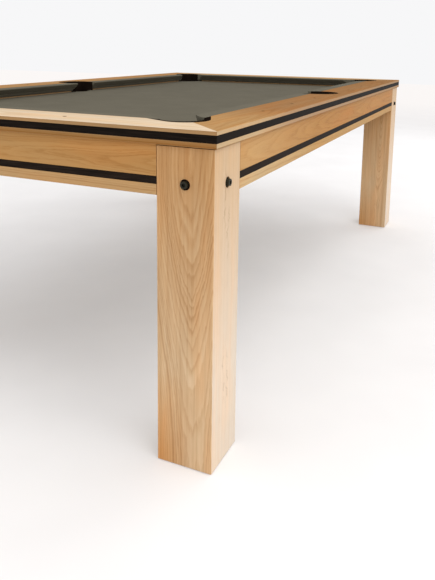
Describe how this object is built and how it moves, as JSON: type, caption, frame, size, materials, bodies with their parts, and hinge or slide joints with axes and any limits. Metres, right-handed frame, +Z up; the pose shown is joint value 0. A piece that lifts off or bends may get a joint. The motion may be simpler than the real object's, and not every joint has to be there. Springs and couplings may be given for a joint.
{
  "type": "pool table",
  "caption": "Slate-bed pool table with square oak legs, mitred rails with a black inlay, grey cloth, pocket cups inside the frame and levelling feet.",
  "frame": {"origin": "on the floor, under the centre of the table", "axes": "+X across the table to the right, +Y along the table, +Z up"},
  "size_m": [1.344, 2.334, 0.78],
  "materials": {
    "oak": "clear matt lacquer on oak",
    "black_inlay": "black stained wood, satin",
    "frame_timber": "planed softwood, unfinished",
    "slate": "honed slate",
    "cloth": "warm grey worsted wool",
    "cushion_rubber": "moulded gum rubber",
    "pocket_moulding": "moulded black rubber, matte",
    "black_steel": "black oxide",
    "zinc_steel": "zinc plated",
    "foot_plastic": "moulded black plastic",
    "dark_wood": "dark inlaid wood, satin"
  },
  "bodies": {
    "root": {"leg_front_left": "oak", "leg_front_right": "oak", "leg_rear_right": "oak", "leg_rear_left": "oak", "rail_front": "oak", "rail_right": "oak", "rail_rear": "oak", "rail_left": "oak", "apron_front": "oak", "apron_right": "oak", "apron_rear": "oak", "apron_left": "oak", "rail_inlay_front": "black_inlay", "rail_inlay_right": "black_inlay", "rail_inlay_rear": "black_inlay", "rail_inlay_left": "black_inlay", "apron_inlay_front": "black_inlay", "apron_inlay_right": "black_inlay", "apron_inlay_rear": "black_inlay", "apron_inlay_left": "black_inlay", "leg_base_blocks": "frame_timber", "side_beam_left": "frame_timber", "side_beam_right": "frame_timber", "end_beam_front": "frame_timber", "end_beam_rear": "frame_timber", "cross_beams": "frame_timber", "centre_stringers": "frame_timber", "corner_blocks": "frame_timber", "slate_front": "slate", "slate_middle": "slate", "slate_rear": "slate", "bed_cloth": "cloth", "cushion_cloths": "cloth", "cushion_front": "cushion_rubber", "cushion_right_front": "cushion_rubber", "cushion_right_rear": "cushion_rubber", "cushion_rear": "cushion_rubber", "cushion_left_rear": "cushion_rubber", "cushion_left_front": "cushion_rubber", "pocket_front_left": "pocket_moulding", "pocket_front_right": "pocket_moulding", "pocket_rear_right": "pocket_moulding", "pocket_rear_left": "pocket_moulding", "pocket_left": "pocket_moulding", "pocket_right": "pocket_moulding", "leg_bolts": "black_steel", "leg_bolt_washers": "black_steel", "leg_bolt_inserts": "zinc_steel", "rail_bolts": "zinc_steel", "slate_screws": "zinc_steel", "leveller_nuts": "zinc_steel", "rail_sights": "dark_wood"},
    "foot_front_left": {"leveller_pad_front_left": "foot_plastic"},
    "stem_front_left": {"leveller_stem_front_left": "zinc_steel"},
    "foot_front_right": {"leveller_pad_front_right": "foot_plastic"},
    "stem_front_right": {"leveller_stem_front_right": "zinc_steel"},
    "foot_rear_right": {"leveller_pad_rear_right": "foot_plastic"},
    "stem_rear_right": {"leveller_stem_rear_right": "zinc_steel"},
    "foot_rear_left": {"leveller_pad_rear_left": "foot_plastic"},
    "stem_rear_left": {"leveller_stem_rear_left": "zinc_steel"}
  },
  "joints": [
    {"name": "foot_height_front_left", "type": "slide", "parent": "root", "child": "foot_front_left", "axis": [0, 0, -1], "range_m": [0, 0.012]},
    {"name": "stem_turn_front_left", "type": "hinge", "parent": "foot_front_left", "child": "stem_front_left", "pos_m": [-0.596, -1.091, 0.04], "axis": [0, 0, -1], "range_deg": [0, 2881]},
    {"name": "foot_height_front_right", "type": "slide", "parent": "root", "child": "foot_front_right", "axis": [0, 0, -1], "range_m": [0, 0.012]},
    {"name": "stem_turn_front_right", "type": "hinge", "parent": "foot_front_right", "child": "stem_front_right", "pos_m": [0.596, -1.091, 0.04], "axis": [0, 0, -1], "range_deg": [0, 2881]},
    {"name": "foot_height_rear_right", "type": "slide", "parent": "root", "child": "foot_rear_right", "axis": [0, 0, -1], "range_m": [0, 0.012]},
    {"name": "stem_turn_rear_right", "type": "hinge", "parent": "foot_rear_right", "child": "stem_rear_right", "pos_m": [0.596, 1.091, 0.04], "axis": [0, 0, -1], "range_deg": [0, 2881]},
    {"name": "foot_height_rear_left", "type": "slide", "parent": "root", "child": "foot_rear_left", "axis": [0, 0, -1], "range_m": [0, 0.012]},
    {"name": "stem_turn_rear_left", "type": "hinge", "parent": "foot_rear_left", "child": "stem_rear_left", "pos_m": [-0.596, 1.091, 0.04], "axis": [0, 0, -1], "range_deg": [0, 2881]}
  ],
  "couplings": [
    {"joint": "stem_turn_front_left", "follows": "foot_height_front_left", "rad_per_m": 4188.8},
    {"joint": "stem_turn_front_right", "follows": "foot_height_front_right", "rad_per_m": 4188.8},
    {"joint": "stem_turn_rear_right", "follows": "foot_height_rear_right", "rad_per_m": 4188.8},
    {"joint": "stem_turn_rear_left", "follows": "foot_height_rear_left", "rad_per_m": 4188.8}
  ]
}
